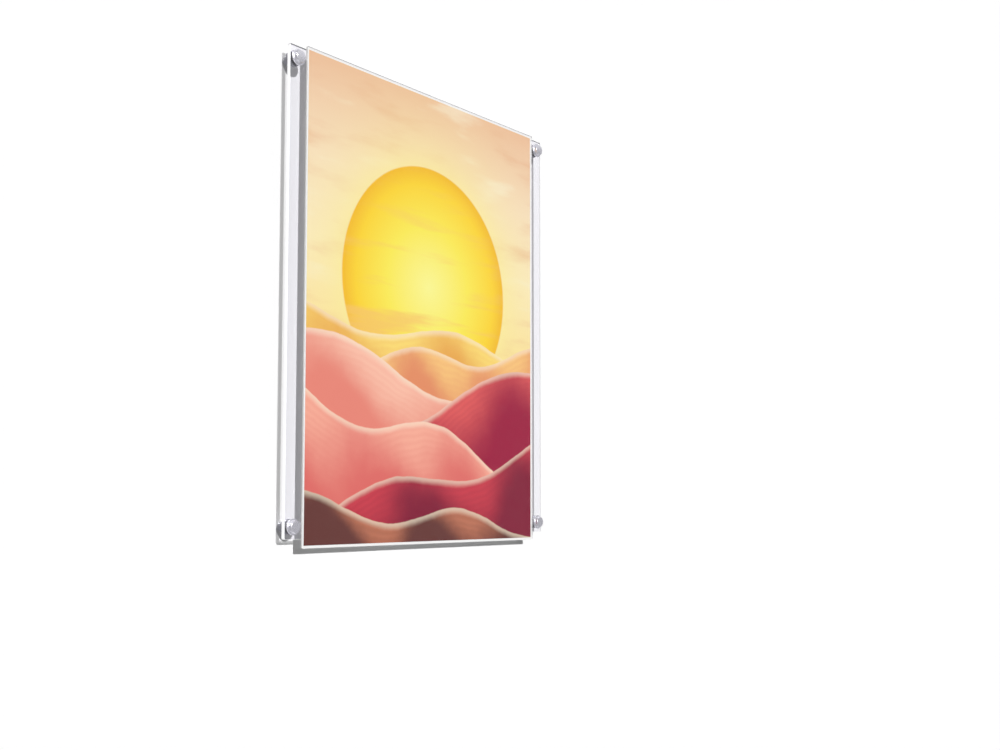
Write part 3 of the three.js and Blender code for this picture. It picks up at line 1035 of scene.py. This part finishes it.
def cross_cutter(name, axis, front):
    """A cross that narrows with depth, for the recess of the screw's head."""
    upright = bar(AROUND, CROSS_SPAN, CROSS_WIDTH)
    level = bar(AROUND + np.pi / 2, CROSS_SPAN, CROSS_WIDTH)
    above = front - CROSS_DEPTH * CROSS_OVER
    floor = front + CROSS_DEPTH
    return outline_cutter(name, axis, np.maximum(upright, level),
                          (0, 1, 1, CROSS_FLOOR, 0), (above, above, front, floor, floor))


for corner in CORNERS:
    axis, head, front, tip = turning(f"wall_screw_{corner}")
    seat = front + HEAD_RIM + HEAD_ROUND
    neck_end = seat + SCREW_NECK
    thread_start = neck_end + NECK_TAPER
    top = profile(
        (0, front, 0), (head, front, HEAD_ROUND), (head, seat, SEAT_ROUND),
        (SCREW_SHANK, seat + head - SCREW_SHANK, NECK_COVE), (SCREW_SHANK, neck_end, NECK_ROUND),
        (SCREW_CORE, thread_start, NECK_ROUND),
    )
    helix = thread(SCREW_CORE, SCREW_SHANK, SCREW_PITCH, thread_start, tip, SCREW_PITCH,
                   lambda y: np.clip((tip - y) / SCREW_POINT, 0, 1))
    screw = turned(f"fine_wall_screw_{corner}", axis, top, helix)
    cut(screw, [cross_cutter(f"cut_{corner}", axis, front)])
    dress(screw, f"wall_screw_{corner}", zinc_steel)
print("screws made:", len(CORNERS))

# %% [markdown]
# The nylon plug grips the wall with sloping ribs, and a slit lets the screw spread it.

# %% Plugs
PLUG_BORE = 2.2
PLUG_WALL = 2.75
PLUG_COLLAR = 4.0
PLUG_RIBS = 4
PLUG_SLIT = 1.0
PLUG_SLIT_SPAN = 4 * PLUG_WALL
RIB_ROUND = 0.25
PLUG_END_ROUND = 0.3
PLUG_BORE_ROUND = 0.15

for corner in CORNERS:
    axis, rib, front, back = turning(f"wall_plug_{corner}")
    pitch = (back - front - PLUG_COLLAR) / PLUG_RIBS
    crests = front + PLUG_COLLAR + pitch * np.arange(PLUG_RIBS)
    teeth = []
    for crest in crests:
        teeth += [(rib, crest, RIB_ROUND), (PLUG_WALL, crest + pitch / 2, RIB_ROUND)]
    section = profile(
        (PLUG_BORE, front, PLUG_BORE_ROUND), (rib, front, RIB_ROUND), *teeth,
        (PLUG_WALL, back, PLUG_END_ROUND), (PLUG_BORE, back, PLUG_BORE_ROUND),
    )
    plug = turned(f"fine_wall_plug_{corner}", axis, ring(section))
    slit = bar(AROUND, PLUG_SLIT_SPAN, PLUG_SLIT)
    slit_start = front + 2 * PLUG_COLLAR
    slit_end = back + CUT_OVER
    depths = (slit_start, slit_start, slit_end, slit_end)
    cut(plug, [outline_cutter(f"cut_{corner}", axis, slit, (0, 1, 1, 0), depths)])
    dress(plug, f"wall_plug_{corner}", grey_nylon)
print("plugs made:", len(CORNERS))

# %% [markdown]
# ## Wall and floor
#
# The display hangs on a white wall, and its shadows on that wall are half of what the photograph
# shows. The wall is a stage, not a part. It is one-sided, so that the back of the display can be
# looked at too, and it neither blocks light nor shows up in the metal. A pale floor lies far below.

# %% Stage
# The stage is in metres
WALL_GAP = 0.0004
STAGE_HALF = 6.0
FLOOR_DROP = 1.3
FLOOR_TONE = 0.6
FLOOR_GLOW = 0.50


def stage_plane(name, corners, finish):
    """A stage face through four corners, in metres, that neither blocks nor mirrors light."""
    mesh = bpy.data.meshes.new(name)
    mesh.from_pydata(corners, [], [(0, 1, 2, 3)])
    mesh.materials.append(finish)
    plane = bpy.data.objects.new(name, mesh)
    bpy.context.scene.collection.objects.link(plane)
    plane.visible_diffuse = False
    plane.visible_glossy = False
    plane.visible_shadow = False


def wall_finish():
    """Matt white from the front, nothing at all from behind."""
    finish, paint = new_finish("white_wall")
    white = paint.node("ShaderNodeBsdfDiffuse", None, {"Color": WHITE})
    nothing = paint.node("ShaderNodeBsdfTransparent")
    behind = paint.node("ShaderNodeNewGeometry", out="Backfacing")
    show(paint, paint.node("ShaderNodeMixShader", None, {0: behind, 1: white, 2: nothing}))
    return finish


def floor_finish():
    """Matt grey with a glow that makes up for the light it doesn't get, so that it looks white."""
    finish, paint = new_finish("pale_floor")
    matt = paint.node("ShaderNodeBsdfDiffuse", None, {"Color": grey(FLOOR_TONE)})
    glow = paint.node("ShaderNodeEmission", None, {"Color": WHITE, "Strength": FLOOR_GLOW})
    show(paint, paint.node("ShaderNodeAddShader", None, {0: matt, 1: glow}))
    return finish


square = STAGE_HALF * CORNER_SIGNS
stage_plane("wall", [(x, WALL_GAP, z) for x, z in square], wall_finish())
stage_plane("floor", [(x, y, -FLOOR_DROP) for x, y in square], floor_finish())
print("wall and floor made, metres across:", 2 * STAGE_HALF)

# %% [markdown]
# ## Light
#
# One lamp gives the crisp shadows: it comes from the left and a little above, which is what the
# offsets of the shadows on the wall say. Soft light from all round fills the rest, and the two
# together light a white surface that faces the room at about 1. Metal shows its surroundings, so for
# reflections the room goes from grey at eye level to pale above. A second lamp from behind the wall
# shows the back of the display, and never reaches its front.

# %% Lamps and surroundings
KEY_TRAVEL = np.array([0.32, 1.0, -0.34])
KEY_STRENGTH = 2.83
BACK_TRAVEL = np.array([-0.3, -1.0, -0.5])
BACK_STRENGTH = 2.6
LAMP_SIZE = 0.02
SOFT_LIGHT = 0.19
ROOM_AT_EYE_LEVEL = (0.48, 0.48, 0.50, 1.0)
ROOM_ABOVE = (0.74, 0.74, 0.77, 1.0)
# Between these slopes of a direction, 0 level and 1 straight up, the room turns pale
ROOM_TURNS_PALE = (0.26, 0.36)


def sun_lamp(name, travel, strength):
    """A lamp whose light travels in one direction. Its own axis, which points back along the light, has
    the tilt arccos z from straight up and the turn atan2(y, x)."""
    lamp = bpy.data.lights.new(name, "SUN")
    lamp.energy = strength
    lamp.angle = LAMP_SIZE
    holder = bpy.data.objects.new(name, lamp)
    backwards = -travel / np.linalg.norm(travel)
    tilt = np.arccos(backwards[2])
    turn = np.arctan2(backwards[1], backwards[0])
    holder.rotation_euler = (0, tilt, turn)
    bpy.context.scene.collection.objects.link(holder)


def surroundings():
    """Soft light for matt surfaces, a room for reflections, and white for the eye and through glass."""
    world = bpy.data.worlds.new("studio")
    world.use_nodes = True
    world.node_tree.nodes.clear()
    sky = Wire(world.node_tree)
    way = sky.node("ShaderNodeSeparateXYZ", None, {0: sky.node("ShaderNodeTexCoord", out="Generated")})
    room = way.also("Z").step(*ROOM_TURNS_PALE).mix(ROOM_AT_EYE_LEVEL, ROOM_ABOVE)
    ray = sky.node("ShaderNodeLightPath", out="Is Glossy Ray")
    soft = sky.node("ShaderNodeBackground", None, {"Color": WHITE, "Strength": SOFT_LIGHT})
    shine = sky.node("ShaderNodeBackground", None, {"Color": room, "Strength": 1.0})
    white = sky.node("ShaderNodeBackground", None, {"Color": WHITE, "Strength": 1.0})
    light = sky.node("ShaderNodeMixShader", None, {0: ray, 1: soft, 2: shine})
    light = sky.node("ShaderNodeMixShader", None, {0: ray.also("Is Transmission Ray"), 1: light, 2: white})
    light = sky.node("ShaderNodeMixShader", None, {0: ray.also("Is Camera Ray"), 1: light, 2: white})
    sky.node("ShaderNodeOutputWorld", None, {"Surface": light})
    bpy.context.scene.world = world


sun_lamp("key", KEY_TRAVEL, KEY_STRENGTH)
sun_lamp("from_behind", BACK_TRAVEL, BACK_STRENGTH)
surroundings()
bpy.context.scene.view_settings.view_transform = "Standard"
print("lamps:", [lamp.name for lamp in bpy.data.lights])
